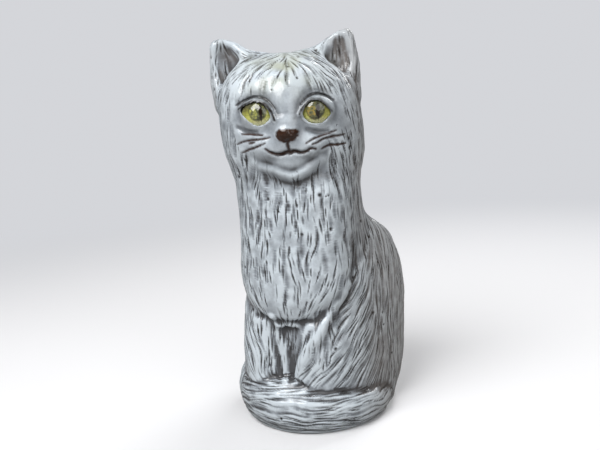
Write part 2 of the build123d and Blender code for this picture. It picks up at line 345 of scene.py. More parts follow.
def lineDistance(x, z, line):
    # Distance to a polyline, and how far along it the nearest point is, from 0 to 1
    line = np.array(line, float)
    lengths = np.linalg.norm(line[1:] - line[:-1], axis=1)
    starts = np.concatenate([[0], np.cumsum(lengths)])
    best = np.full(np.shape(x), 1e9, np.float32)
    along = np.zeros(np.shape(x), np.float32)
    for a, b, length, start in zip(line[:-1], line[1:], lengths, starts):
        t = ((x - a[0]) * (b[0] - a[0]) + (z - a[1]) * (b[1] - a[1])) / length ** 2
        t = np.clip(t, 0, 1)
        gap = np.hypot(x - a[0] - t * (b[0] - a[0]), z - a[1] - t * (b[1] - a[1]))
        closer = gap < best
        best = np.where(closer, gap, best)
        along = np.where(closer, (start + t * length) / starts[-1], along)
    return best, along


def roundDistance(away, half):
    # Nearly the distance from an egg of these half sizes, for places seen from its middle
    scaled = away / np.array(half)
    size = np.linalg.norm(scaled, axis=-1)
    return size * (size - 1) / np.maximum(np.linalg.norm(scaled / np.array(half), axis=-1), 1e-6)


def insideLoop(x, z, loop):
    inside = np.zeros(np.shape(x), bool)
    for (ax, az), (bx, bz) in zip(loop, np.roll(loop, -1, 0)):
        crosses = (az > z) != (bz > z)
        inside ^= crosses & (x < (bx - ax) * (z - az) / (bz - az + 1e-9) + ax)
    return inside


def ballFrame(eye):
    # Middle of the eyeball in the face's frame, from the CAD eye
    low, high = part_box(eye["node"])
    out = toFace(np.array((low + high) / 2)[None] / mm)[0][1]
    return np.array([eye["middle"][0], out + face["ballProud"], eye["middle"][1]])


def ballDistance(eye, places):
    # Nearly the distance from the eyeball
    away = places - ballFrame(eye)
    turn = eye["turn"]
    across = cos(turn) * away[..., 0] - sin(turn) * away[..., 1]
    out = sin(turn) * away[..., 0] + cos(turn) * away[..., 1]
    return roundDistance(np.stack([across, out, away[..., 2]], -1),
                         (eye["halfWidth"], face["ballDepth"], eye["halfHeight"]))


def eyeLoop(eye):
    upper = rounded(eye["upper"])
    lower = rounded([eye["upper"][-1]] + eye["lower"] + [eye["upper"][0]])
    return np.concatenate([upper, lower[1:-1]])


def carveFace():
    corners = np.array([fromFace(x, out, z) for x in (-face["across"], face["across"])
                        for out in (face["behind"], face["ahead"]) for z in (face["lowZ"], face["highZ"])])
    window, points = windowOf(corners.min(0), corners.max(0))
    places = toFace(points)
    x, out, z = places[..., 0], places[..., 1], places[..., 2]
    front = fadeIn(out, -17, 5)
    off = 9 * (1 - front)  # keeps the tools away from the back of the head
    skin = field[window]
    # the brow and the bridge of the nose are smoothed with a wet thumb
    thumb = fadeIn(z, face["browZ"], 6) * fadeIn(-z, -face["browTop"], 5) * fadeIn(-np.abs(x), -24, 8) * front
    skin = skin + thumb * (blurred(skin, face["thumb"]) - skin)
    form = skin.copy()

    def rod(line, width, even=0.35, sink=0.0):
        # A round line along the skin that tapers to its ends
        gap, along = lineDistance(x, z, rounded(line))
        return np.hypot(gap, skin + sink) - width * np.sin(pi * np.clip(along, 0.03, 0.97)) ** even + off

    form = softUnion(form, rod(mouth["chinRidge"], 1.7, even=0.4, sink=0.75), 2.3)
    form = softCut(form, rod(mouth["line"], 0.85), 0.6)
    form = softCut(form, rod(mouth["philtrum"], 0.6), 0.5)
    for line in underEyes:
        form = softCut(form, rod(line, 0.9), 1.6)
    for line in whiskers:
        form = softCut(form, rod(line, 0.42), 0.3)
    for eye in eyes.values():
        ball = ballDistance(eye, places)
        loop = eyeLoop(eye)
        gap = lineDistance(x, z, np.concatenate([loop, loop[:1]]))[0]
        opening = np.where(insideLoop(x, z, loop), -gap, gap)
        lid = np.maximum(np.maximum(ball - face["lidSkin"], -opening), opening - face["lidDepth"])
        form = softUnion(form, lid + off, 2.0)
        rim = lineDistance(x, z, rounded(eye["upper"]))[0]
        union = np.minimum(form, ball)
        form = softUnion(form, np.hypot(rim - 0.5, union) - face["rim"] + off, 0.8)
        crease, along = lineDistance(x, z, rounded(eye["crease"]))
        depth = face["crease"] * np.sin(pi * np.clip(along, 0.04, 0.96)) ** 0.4
        form = softCut(form, np.hypot(crease, union) - depth + off, 0.7)
        # the ball shows only through the opening
        cut = np.maximum(0.06 - ball, -9.0)
        form = np.maximum(form, np.where(opening < 0.6, cut, np.minimum(cut, 0.6 - opening)))
        form = np.where((opening < 0) & (ball < 0.5), np.maximum(form, 0.5 - ball), form)
    field[window] = form


carveFace()

# Clay added by hand to the body and the ears: places in mm in the CAD frame

body = {
    "gapHalf": (13.0, 9.5, 34.0), "gapDepth": 11.3, "gapZ": 34.0,  # the clay left between the forelegs
    "legRidge": [(-5.0, -34.5, 53), (-3.2, -34.5, 47), (-1.8, -34.0, 40), (-1.4, -33.5, 32),
                 (-0.6, -34, 25)],
    "knee": [(26.0, -20.1, 65.6), (23.4, -22.5, 62.5), (18.5, -25.7, 54.5), (13.9, -27.9, 44),
             (10.0, -29.2, 35), (7.2, -29.9, 25.5), (6.4, -29.9, 21)],
    "hem": [(-14.0, -30.5, 52.6), (-4.8, -34.8, 50.6), (1.8, -35.4, 49.8), (8.6, -34.2, 50.4),
            (14.5, -31.2, 51.8), (17.6, -28.8, 53.6)],
    "foldShade": [(29.4, -7.5, 92), (29.2, -10.8, 84), (28.4, -14.5, 76), (26.4, -19.0, 68), (23.4, -23.4, 61)],
}
ears = {  # outline seen square to the face, how far behind the eyes the ear stands, and the cup in it
    "right": {"loop": [(-32.6, 158.0), (-33.6, 168.0), (-33.8, 173.5), (-32.6, 176.4), (-30.0, 177.2),
                       (-25.6, 175.9), (-21.4, 173.0), (-16.6, 170.9), (-7.0, 167.6), (-8.0, 156.0)],
              "behind": 27.6, "half": 3.3, "rim": 2.6, "top": 178.0,
              "cup": (-26.6, -23.4, 165.2), "cupHalf": (4.8, 2.6, 9.0), "lean": -0.064},
    "left": {"loop": [(30.0, 158.0), (29.6, 167.0), (28.6, 173.0), (27.2, 175.8), (24.8, 175.8),
                      (20.6, 173.6), (15.4, 170.9), (10.0, 169.4), (5.0, 168.0), (6.0, 156.0)],
             "behind": 24.6, "half": 3.3, "rim": 2.6, "top": 178.2,
             "cup": (22.0, -20.2, 165.2), "cupHalf": (4.6, 2.8, 8.4), "lean": 0.0657},
}


def pathGap(points, path):
    best = np.full(points.shape[:-1], 1e9)
    for a, b in zip(path[:-1], path[1:]):
        a, b = np.array(a, float), np.array(b, float)
        t = np.clip((points - a) @ (b - a) / ((b - a) @ (b - a)), 0, 1)
        best = np.minimum(best, np.linalg.norm(points - a - t[..., None] * (b - a), axis=-1))
    return best


def workBody():
    low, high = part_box("foreleg_right")[0] / mm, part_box("foreleg_left")[1] / mm
    between = np.array([(low.x + high.x) / 2, low.y + body["gapDepth"], body["gapZ"]])
    window, points = windowOf(between - 45, between + 45)
    away = np.linalg.norm((points - between) / np.array(body["gapHalf"]), axis=-1)
    field[window] = softUnion(field[window], (away - 1) * body["gapHalf"][0], 3.0)
    for path, width, blend in ((body["legRidge"], 1.8, 2.0), (body["knee"], 2.1, 2.4)):
        path = ontoSkin(rounded(path), 3)
        window, points = windowOf(path.min(0) - 9, path.max(0) + 9)
        skin = field[window]
        side = np.sqrt(np.maximum(pathGap(points, path) ** 2 - skin ** 2, 0))
        field[window] = softUnion(skin, np.hypot(side, skin + 0.6) - width, blend)
    hem = np.array(body["hem"])
    window, points = windowOf(hem.min(0) - 9, hem.max(0) + 9)
    field[window] = softCut(field[window], pathGap(points, ontoSkin(hem, 3)) - 0.2, 3.2)


def workEars():
    for ear in ears.values():
        spots = np.array([fromFace(x, out, z) for x, z in ear["loop"] for out in (-ear["behind"] - 8, -15)])
        window, points = windowOf(spots.min(0) - 8, spots.max(0) + 8)
        places = toFace(points)
        x, out, z = np.moveaxis(places, -1, 0)
        loop = np.array(ear["loop"])
        gap = lineDistance(x, z, np.concatenate([loop, loop[:1]]))[0]
        edge = np.where(insideLoop(x, z, loop), -gap, gap) + ear["rim"]
        thick = np.abs(out + ear["behind"]) - ear["half"] + ear["rim"]
        plate = np.hypot(np.maximum(edge, 0), np.maximum(thick, 0))
        plate = plate + np.minimum(np.maximum(edge, thick), 0) - ear["rim"]
        form = softUnion(field[window], plate, 5.0)
        cup = places - np.array(ear["cup"])
        cup[..., 0] -= ear["lean"] * cup[..., 2]
        form = softCut(form, roundDistance(cup, ear["cupHalf"]), 4.6)
        field[window] = softCut(form, ear["top"] - z, 4.0)


workBody()
workEars()
print("face, body and ears worked")

# Skin mesh of the whole figure

grid = openvdb.FloatGrid(clay["band"])
grid.copyFromArray(field, ijk=tuple(int(v) for v in gridLow))
grid.transform = openvdb.createLinearTransform(step)
points, quads = grid.convertToQuads(0.0)
points = points.astype(np.float64)
quads = quads[:, ::-1].astype(np.int64)
print("skin", len(points), "points", len(quads), "faces")


def edgesOf(faces):
    return faces.ravel(), np.roll(faces, -1, 1).ravel()


def components(count, a, b):
    # Smallest number that each item can reach over the links a-b
    group = np.arange(count)
    while True:
        low = np.minimum(group[a], group[b])
        fresh = group.copy()
        np.minimum.at(fresh, a, low)
        np.minimum.at(fresh, b, low)
        fresh = fresh[fresh]
        fresh = fresh[fresh]
        if (fresh == group).all():
            return group
        group = fresh


def keepLargest(points, faces):
    a, b = edgesOf(faces)
    group = components(len(points), a, b)
    sizes = np.bincount(group, minlength=len(points))
    keep = group == sizes.argmax()
    number = np.cumsum(keep) - 1
    faces = faces[keep[faces[:, 0]]]
    return points[keep], number[faces]


points, quads = keepLargest(points, quads)


def owners(places):
    at = np.clip(np.rint(places / step - gridLow).astype(int), 0, np.array(gridShape) - 1)
    return owner[at[:, 0], at[:, 1], at[:, 2]]


normals = slopeAt(points)
part = owners(points)
partOf = {name: index for index, name in enumerate(pieceNames)}
noiseTurn = np.array(Matrix.Rotation(0.8, 3, Vector((1, 2, 0.7)).normalized()))  # off the grid's axes


def noise(places, size, seed):
    # Smooth noise from -1 to 1 with bumps about as large as size, in mm
    table = np.random.default_rng(seed).uniform(-1, 1, (24, 24, 24))
    at = places @ noiseTurn / size
    base = np.floor(at).astype(int)
    part = at - base
    part = part * part * (3 - 2 * part)
    total = 0
    for corner in np.ndindex(2, 2, 2):
        weight = np.prod(np.where(corner, part, 1 - part), axis=1)
        spot = (base + corner) % 24
        total = total + weight * table[spot[:, 0], spot[:, 1], spot[:, 2]]
    return total


# How the fur lies

fur = {
    "wander": 0.34, "wanderSize": 6.5,  # how far hairs stray, and over how many mm
    "faceHalfWidth": 26.0, "faceHalfHeight": 15.0, "faceZ": neckZ + 25.0, "faceEdge": 0.10,  # the bare face
    "ruffGather": 0.045, "ruffFoot": 24,  # how the ruff draws in over its last mm
    "haunchForward": 1.15, "haunchInward": 0.5,
    "tailBend": (22, 8, 32, 8),  # where the tail comes out on the right and its hair turns upright
    "browZ": neckZ + 34, "browFade": 8, "browFan": 0.2, "cheekSpread": 0.35,
}
tailLow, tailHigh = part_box("tail")
tailMiddle = np.array((tailLow + tailHigh) / 2) / mm
earTips = {}
for side in ("left", "right"):
    earPoints = cadTriangles("ear_" + side)[0]
    earTips[side] = earPoints[earPoints[:, 2].argmax()]


def flowAt(places, parts, slopes):
    # Direction in which the fur is combed, along the skin
    x, out, z = toFace(places).T
    sideways, upright = np.array(faceAcross), np.array([0, 0, 1.0])
    flow = np.zeros_like(places)
    flow[:, 2] = -1
    # ruff: hangs down and draws in below
    ruff = parts == partOf["chest_ruff"]
    low = np.clip((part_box("chest_ruff")[0].z / mm + fur["ruffFoot"] - places[:, 2]) / fur["ruffFoot"], 0, 1)
    flow[ruff, 0] += (-fur["ruffGather"] * low * places[:, 0])[ruff]
    # haunches: the hair runs forward and down to the knee
    lead = np.clip((6 - places[:, 1]) / 30, 0, 1)
    for side, sign in (("left", 1), ("right", -1)):
        on = parts == partOf["haunch_" + side]
        flow[on, 1] -= (fur["haunchForward"] * lead)[on]
        flow[on, 0] -= (fur["haunchInward"] * lead * sign)[on]
    # tail: round the feet, and across it where it comes out on the right
    on = parts == partOf["tail"]
    away = places - tailMiddle
    ring = np.stack([-away[:, 1], away[:, 0], np.zeros(len(away))], 1)
    ring /= np.maximum(np.linalg.norm(ring, axis=1, keepdims=True), 1e-6)
    acrossAt, acrossFade, backAt, backFade = fur["tailBend"]
    bend = fadeIn(-away[:, 0], acrossAt, acrossFade) * fadeIn(away[:, 1], -backAt, backFade)
    flow[on] = (ring * (1 - bend)[:, None] + upright * bend[:, None])[on]
    # head: out and up from the bridge of the nose over the brow, down the cheeks
    head = np.isin(parts, [partOf[name] for name in pieceNames
                           if name.startswith(("head", "upper", "lower", "nose", "muzzle", "chin"))])
    up = fadeIn(z, fur["browZ"], fur["browFade"]) * head
    fan = sideways * x[:, None] + upright * (z - neckZ - 68)[:, None]
    fan += fadeIn(-out, 22, 10)[:, None] * np.array(faceOut) * -20
    flow += up[:, None] * fur["browFan"] * fan
    cheek = head * (1 - up) * fadeIn(np.abs(x), 8, 14)
    flow += (cheek * np.sign(x) * fur["cheekSpread"])[:, None] * sideways
    for side in earTips:
        on = parts == partOf["ear_" + side]
        flow[on] = (places - earTips[side] - np.array([0, 0, 6.0]))[on]
    flow = flow / np.maximum(np.linalg.norm(flow, axis=1, keepdims=True), 1e-6)
    flow += fur["wander"] * np.stack([noise(places, fur["wanderSize"], seed) for seed in (1, 2, 3)], 1)
    flow -= slopes * np.sum(flow * slopes, 1, keepdims=True)
    return flow / np.maximum(np.linalg.norm(flow, axis=1, keepdims=True), 1e-6)


def bareness(places):
    # 1 on the smooth middle of the face, 0 in the fur
    x, out, z = toFace(places).T
    wide = np.clip(1 + (z - fur["faceZ"]) * 0.022, 0.7, 1.0)
    reach = (np.abs(x / (fur["faceHalfWidth"] * wide)) ** 2.6
             + np.abs((z - fur["faceZ"]) / fur["faceHalfHeight"]) ** 2.6) ** (1 / 2.6)
    reach = reach + fur["faceEdge"] * noise(places, 6.0, 9)
    smooth = fadeIn(-reach, -1.08, 0.16)
    for line in (mouth["lip"], mouth["chinRidge"]):
        smooth = np.maximum(smooth, fadeIn(-lineDistance(x, z, rounded(line))[0], -3.0, 1.2))
    return smooth * (out > -16)


bare = bareness(points)

# Strokes of the needle and the thumb

strokes = {
    # count per 1000 square mm, length and width in mm, depth in mm, how dark the glaze pools
    "thumb": {"count": 18, "length": (5, 13), "width": (1.0, 2.1), "depth": (0.16, 0.5),
              "dark": (0.2, 0.6)},
    "comb": {"count": 40, "length": (3, 10), "width": (0.36, 0.62), "depth": (0.1, 0.26),
             "dark": (0.15, 0.6)},
    "needle": {"count": 34, "length": (3, 10), "width": (0.34, 0.54), "depth": (0.28, 0.5),
               "dark": (0.85, 1)},
}
sparser = {"chest_ruff": 0.62, "foreleg_left": 0.8}  # share of the fine strokes kept
longer = {"tail": 2.2, "haunch_left": 1.5, "haunch_right": 1.5, "torso_shell": 1.4}  # than elsewhere
grooveShape = {  # in shares of its width
    "narrow": 0.55, "steep": 1.35, "rimAt": 1.35, "rimWidth": 0.55, "reach": 2.1,
}


def traced(seeds, lengths, spacing):
    # Walks each seed both ways along the fur and returns samples, tangents and share along the stroke
    steps = int(np.ceil(lengths.max() / 2 / spacing))
    found = []
    for way in (1, -1):
        place = seeds.copy()
        alive = np.arange(len(seeds))
        for count in range(steps):
            on = count * spacing <= lengths[alive] / 2
            alive, place = alive[on], place[on]
            if not len(alive):
                break
            direction = flowAt(place, owners(place), slopeAt(place))
            if way == 1 or count > 0:  # the seed itself counts once
                found.append((place, direction, way * count * spacing / (lengths[alive] / 2), alive))
            place = ontoSkin(place + way * spacing * direction, 1)
    return [np.concatenate(values) for values in zip(*found)]


def nearPairs(targets, sources, reach):
    # Every (target, source) pair that lies within about reach, found through a coarse hash
    low = targets.min(0) - reach
    size = np.floor((targets.max(0) + reach - low) / reach).astype(int) + 3

    def cellOf(places, shift):
        cell = np.clip(np.floor((places - low) / reach).astype(int) + 1 + shift, 0, size - 1)
        return (cell[:, 0] * size[1] + cell[:, 1]) * size[2] + cell[:, 2]

    keys = cellOf(targets, 0)
    order = np.argsort(keys, kind="stable")
    keys = keys[order]
    for shift in np.ndindex(3, 3, 3):
        wanted = cellOf(sources, np.array(shift) - 1)
        first = np.searchsorted(keys, wanted, "left")
        last = np.searchsorted(keys, wanted, "right")
        many = last - first
        source = np.repeat(np.arange(len(sources)), many)
        offset = np.arange(many.sum()) - np.repeat(np.cumsum(many) - many, many)
        target = order[np.repeat(first, many) + offset]
        yield target, source


grooveDepth, thumbDepth, grooveDark, burr, hollow = (np.zeros(len(points)) for turn in range(5))


def press(kind, depthTo):
    recipe = strokes[kind]
    count = int(recipe["count"] * len(quads) * step * step / 1000)
    seeds = rng.choice(len(points), count, replace=False)
    chance = np.where(points[seeds, 2] < 1.5, 0, 1 - bare[seeds])
    if kind != "thumb":
        for name, share in sparser.items():
            chance = np.where(part[seeds] == partOf[name], chance * share, chance)
    seeds = seeds[rng.random(count) < chance]
    lengths, widths, depths, darks = (rng.uniform(*recipe[key], len(seeds))
                                      for key in ("length", "width", "depth", "dark"))
    for name, times in longer.items():
        lengths[part[seeds] == partOf[name]] *= times
    spacing = 0.55 * np.mean(recipe["width"]) + 0.35
    places, tangents, shares, ids = traced(points[seeds], lengths, spacing)
    taper = np.clip(1 - np.abs(shares), 0, 1) ** 0.6
    for target, source in nearPairs(points, places, grooveShape["reach"] * max(recipe["width"])):
        away = points[target] - places[source]
        along = np.sum(away * tangents[source], 1)
        near = np.abs(along) < spacing * 0.75
        target, source, away, along = target[near], source[near], away[near], along[near]
        across = np.linalg.norm(away - along[:, None] * tangents[source], axis=1)
        share = taper[source]
        width = widths[ids[source]] * (grooveShape["narrow"] + (1 - grooveShape["narrow"]) * share)
        groove = np.exp(-(across / width * grooveShape["steep"]) ** 2) * share
        rim = (across - grooveShape["rimAt"] * width) / (grooveShape["rimWidth"] * width)
        rim = np.exp(-rim ** 2) * share
        np.maximum.at(depthTo, target, groove * depths[ids[source]])
        if kind == "thumb":
            np.maximum.at(hollow, target, groove * darks[ids[source]])
        else:
            np.maximum.at(grooveDark, target, groove * darks[ids[source]])
            np.maximum.at(burr, target, rim * depths[ids[source]])
    print(kind, "strokes", len(seeds))


press("thumb", thumbDepth)
press("comb", grooveDepth)
press("needle", grooveDepth)

pits = {"count": 150, "radius": (0.35, 0.75), "depth": 0.55}


def pitSkin():
    seeds = rng.choice(len(points), pits["count"], replace=False)
    radii = rng.uniform(*pits["radius"], pits["count"]) * np.where(bare[seeds] > 0.5, 0.55, 1.0)
    dark = np.zeros(len(points))
    for target, source in nearPairs(points, points[seeds], 2.0):
        away = np.linalg.norm(points[target] - points[seeds][source], axis=1)
        np.maximum.at(dark, target, np.exp(-(away / radii[source]) ** 2))
    return dark


pit = pitSkin()

# Brown oxide brushed into nose, mouth and whiskers, dark lines round the eyes, and painted shade in the folds
# of the face and body
oxide, inkAndShade = np.zeros(len(points)), np.zeros(len(points))
brushes = {  # width in mm, how strong, and how long it tapers
    # Painted shade: the brushes under the lip, on the lip, in the lid crease, in the socket, under the ruff's
    # hem and in the flank's fold
    "line": (0.85, 1.0, 0.3), "philtrum": (0.75, 1.0, 0.1), "whisker": (0.55, 1.0, 0.2),
    "underLip": (1.5, 0.34, 0.3), "lip": (2.2, 0.26, 0.3), "underEye": (1.1, 0.35, 0.3),
    "upper": (1.5, 1.0, 0.3), "lower": (0.35, 0.4, 0.3), "crease": (1.1, 0.9, 0.3),
    "socket": (2.3, 0.46, 0.3),
    "hem": (1.5, 0.08), "foldShade": (2.2, 0.4),
}


def brushFace():
    x, out, z = toFace(points).T
    front = out > -17
    rough = 1 + 0.35 * noise(points, 1.1, 21) + 0.2 * noise(points, 0.6, 22)

    def stroke(line, brush, into):
        width, strength, taper = brushes[brush]
        gap, along = lineDistance(x, z, rounded(line))
        width = width * rough * np.sin(pi * np.clip(along, 0.05, 0.95)) ** taper
        np.maximum(into, strength * front * np.exp(-(gap / width) ** 2 * 1.2), out=into)

    for line in whiskers:
        stroke(line, "whisker", oxide)
    for line in underEyes:
        stroke(line, "underEye", inkAndShade)
    # Oxide in the mouth line and philtrum; painted shade under the lower lip and on the lip below the mouth
    for brush, into in (("line", oxide), ("philtrum", oxide), ("underLip", inkAndShade), ("lip", inkAndShade)):
        stroke(mouth[brush], brush, into)
    for eye in eyes.values():
        # The dark lash line along the top of each opening, and painted shade in the lid crease and in the
        # socket above the eye
        for brush in ("upper", "crease", "socket"):
            stroke(eye[brush], brush, inkAndShade)
        stroke([eye["upper"][-1]] + eye["lower"] + [eye["upper"][0]], "lower", inkAndShade)


brushFace()
# Painted shade under the ruff's hem and in the fold between chest and haunch on the cat's left
for brush in ("hem", "foldShade"):
    width, strength = brushes[brush]
    gap = pathGap(points, ontoSkin(np.array(body[brush]), 3))
    width = width * (1 + 0.5 * noise(points, 2.2, 24))
    np.maximum(inkAndShade, strength * np.exp(-(gap / width) ** 2), out=inkAndShade)

# The nose: a rounded wedge, wide at its top
noseShape = {"middle": (-0.1, 132.9), "halfWidth": 6.1, "halfHeight": 3.0, "top": 135.6, "narrowing": 0.5}
noseX, noseOut, noseZ = toFace(points).T
noseHalf = np.clip(noseShape["halfWidth"] - (noseShape["top"] - noseZ) * noseShape["narrowing"], 2.5, 6.3)
nose = (np.abs((noseX - noseShape["middle"][0]) / noseHalf) ** 3
        + np.abs((noseZ - noseShape["middle"][1]) / noseShape["halfHeight"]) ** 3) ** (1 / 3)
nose += 0.12 * noise(points, 1.2, 23)
nose = np.clip((1.0 - nose) / 0.12, 0, 1) * (noseOut > 2)
nosePits = np.clip(noise(points, 0.9, 31) + 0.5 * noise(points, 0.5, 32), 0, 1) * nose

relief = {"lumps": 0.17, "smallLumps": 0.12, "burr": 0.22, "nosePits": 0.5, "oxide": 0.15}  # mm
lump = relief["lumps"] * noise(points, 7.0, 51) + relief["smallLumps"] * noise(points, 2.8, 52)
lump *= 1 - 0.6 * bare
rise = relief["burr"] * burr * (1 - grooveDark) - grooveDepth - thumbDepth + lump
rise -= pits["depth"] * pit + relief["nosePits"] * nosePits + relief["oxide"] * oxide * (1 - nose)
rise = np.where(points[:, 2] < 1.2, np.clip(rise, -9, 0) * np.clip(points[:, 2], 0, 1), rise)
points = points + normals * rise[:, None]
points[:, 2] = np.maximum(points[:, 2], 0)

# Tone: where the glaze is thick or thin, with painted shade in the broad hollows, near the floor, in the
# folds and on the cat's left flank

starts, ends = edgesOf(quads)
degree = np.bincount(starts, minlength=len(points))[:, None]


def relaxed(values, rounds):
    for turn in range(rounds):
        total = np.zeros_like(values)
        for axis in range(values.shape[1]):
            total[:, axis] = np.bincount(starts, values[ends, axis], len(points))
        values = 0.5 * values + 0.5 * total / degree
    return values


tone = {
    "fine": 2.3, "wide": 1.5, "deep": 0.45, "thumb": 0.25,  # how much each size of hollow darkens
    "calm": 0.65,  # less of it on the bare face
    # painted shade: the skin turns darker towards the floor
    "foot": 0.16, "footZ": 24, "footFade": 12,  # the tail is a little darker
    "warmX": 12, "warmFade": 24, "earWarmth": 0.25,
    "greenZ": neckZ + 48, "greenHalf": 9, "greenWide": 26,
}


def hollowness(rounds):
    # How far the skin lies under the average of the skin around it
    return np.sum((relaxed(points, rounds) - points) * normals, 1)


rounds = (0.7 / step) ** 2  # so that a finer grid looks as far
# The finer hollows darken as the glaze pools in them; the broadest hollows are darkened as painted shade
poolAndShade = tone["fine"] * hollowness(round(3 * rounds)) + tone["wide"] * hollowness(round(26 * rounds))
poolAndShade += tone["deep"] * hollowness(160) + tone["thumb"] * hollow
poolAndShade = (1 - tone["calm"] * bare) * np.clip(poolAndShade, -1, 0.85)
# Painted shade: darker towards the floor, most on the tail that lies along it
poolAndShade += tone["foot"] * fadeIn(-points[:, 2], -tone["footZ"], tone["footFade"])
# Dark glaze in the grooves and pinholes, the painted lines, and the painted shade brushed into the folds
dark = np.clip(np.maximum.reduce([np.clip(grooveDark, 0, 1) ** 1.2, pit, inkAndShade]), 0, 1)
x, out, z = toFace(points).T
# Painted shade with warm reflected light: the cat's left flank and the back turn darker and browner, and the
# ears a little too
warmShade = np.clip((points[:, 0] - tone["warmX"]) / tone["warmFade"] + 0.25 * noise(points, 14.0, 61), 0, 1)
warmShade *= fadeIn(points[:, 1], -26, 22)
onEar = np.isin(part, [partOf["ear_left"], partOf["ear_right"]])
warmShade = np.clip(warmShade + onEar * (tone["earWarmth"] + 0.5 * noise(points, 5.0, 63)), 0, 1)
green = np.exp(-(((z - tone["greenZ"]) / tone["greenHalf"]) ** 2)) * (out > -24)
green *= np.clip(1 - np.abs(x + 2) / tone["greenWide"], 0, 1)
green *= np.clip(0.55 + 0.8 * noise(points, 5.0, 62), 0, 1)
tones = {"poolAndShade": poolAndShade, "dark": dark, "oxide": np.maximum(oxide, nose), "warmShade": warmShade, "green": green}
print("tones done")

# One closed mesh for each piece

faceCount = len(quads)
middles = points[quads].mean(1)
faceSlopes = slopeAt(ontoSkin(middles, 1))
label = owners(middles - 0.4 * faceSlopes).astype(np.int64)
under = (middles[:, 2] < 0.5) & (faceSlopes[:, 2] < -0.6)
label[(label == partOf["base_disc"]) & ~under] = partOf["torso_shell"]

edgeA = np.minimum(starts, ends)
edgeB = np.maximum(starts, ends)
edgeKey = edgeA * len(points) + edgeB
edgeOrder = np.argsort(edgeKey, kind="stable")
pairs = edgeOrder.reshape(-1, 2) // 4
assert (edgeKey[edgeOrder[0::2]] == edgeKey[edgeOrder[1::2]]).all(), "the skin is not closed"

seams = {"rounds": 12, "votes": 3, "island": 0.25}  # how seams are smoothed, and the least share of an island


def tidyLabels(label):
    for turn in range(seams["rounds"]):  # majority of the neighbours
        votes = np.zeros((faceCount, len(pieceNames)), np.int8)
        np.add.at(votes, (pairs[:, 0], label[pairs[:, 1]]), 1)
        np.add.at(votes, (pairs[:, 1], label[pairs[:, 0]]), 1)
        best = votes.argmax(1)
        label = np.where(votes[np.arange(faceCount), best] >= seams["votes"], best, label)
    same = label[pairs[:, 0]] == label[pairs[:, 1]]
    group = components(faceCount, pairs[same, 0], pairs[same, 1])
    sizes = np.bincount(group, minlength=faceCount)
    small = sizes[group] < seams["island"] * np.bincount(label, minlength=len(pieceNames))[label]
    for turn in range(200):  # stray islands join the piece around them
        if not small.any():
            break
        for a, b in ((0, 1), (1, 0)):
            take = small[pairs[:, a]] & ~small[pairs[:, b]]
            label[pairs[take, a]] = label[pairs[take, b]]
            small[pairs[take, a]] = False
    pairEnds = np.stack([edgeA[edgeOrder[0::2]], edgeB[edgeOrder[0::2]]], 1)
    for turn in range(40):  # no piece may touch itself at only a corner
        crossing = label[pairs[:, 0]] != label[pairs[:, 1]]
        bad = np.zeros(len(points), bool)
        for index in range(len(pieceNames)):
            mine = crossing & (label[pairs] == index).any(1)
            bad |= np.bincount(pairEnds[mine].ravel(), minlength=len(points)) > 2
        if not bad.any():
            break
        touched = bad[quads].any(1)
        for vertex in np.flatnonzero(bad):
            around = np.flatnonzero(touched)[(quads[touched] == vertex).any(1)]
            label[around] = np.bincount(label[around]).argmax()
    return label


label = tidyLabels(label)

shiftNormals = slopeAt(points - normals * rise[:, None])
depth = np.full(len(points), 0.3)
for trial in (0.6, 1.0, 1.5, clay["skin"]):
    inner = points - shiftNormals * trial
    depth = np.where(sampled(field, inner) < -0.8 * trial + 0.25, trial, depth)
depth = relaxed(depth[:, None], 6)[:, 0]
innerPoints = points - shiftNormals * depth[:, None]


def vertexNormals():
    corner = points[quads]
    cross = np.cross(corner[:, 2] - corner[:, 0], corner[:, 3] - corner[:, 1])
    total = np.zeros_like(points)
    for axis in range(3):
        total[:, axis] = np.bincount(quads.ravel(), np.repeat(cross[:, axis], 4), len(points))
    return total / np.maximum(np.linalg.norm(total, axis=1, keepdims=True), 1e-12)


shading = vertexNormals()
if np.sum(shading * normals) < 0:
    quads = quads[:, ::-1]
    shading = -shading


def buildMesh(name, vertices, faces, loopNormals=None):
    mesh = bpy.data.meshes.new(name)
    mesh.vertices.add(len(vertices))
    mesh.vertices.foreach_set("co", (vertices * mm).astype(np.float32).ravel())
    mesh.loops.add(faces.size)
    mesh.loops.foreach_set("vertex_index", faces.astype(np.int32).ravel())
    mesh.polygons.add(len(faces))
    mesh.polygons.foreach_set("loop_start", np.arange(0, faces.size, faces.shape[1], dtype=np.int32))
    mesh.polygons.foreach_set("use_smooth", np.ones(len(faces), bool))
    mesh.update(calc_edges=True)
    mesh.validate(verbose=False)
    if loopNormals is not None:
        mesh.normals_split_custom_set(loopNormals.astype(np.float32))
    return mesh


def plainMesh(name, corners, faces):
    mesh = bpy.data.meshes.new(name)
    mesh.from_pydata(corners, [], faces)
    for polygon in mesh.polygons:
        polygon.use_smooth = True
    mesh.update()
    return mesh


def addToScene(name, data):
    added = bpy.data.objects.new(name, data)
    bpy.context.scene.collection.objects.link(added)
    return added


def addPiece(name, mesh, material, stands):
    # A piece of the cat rides on its one body and stands for its CAD node
    piece = addToScene(name, mesh)
    mesh.materials.append(material)
    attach(piece, "root")
    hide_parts(stands)


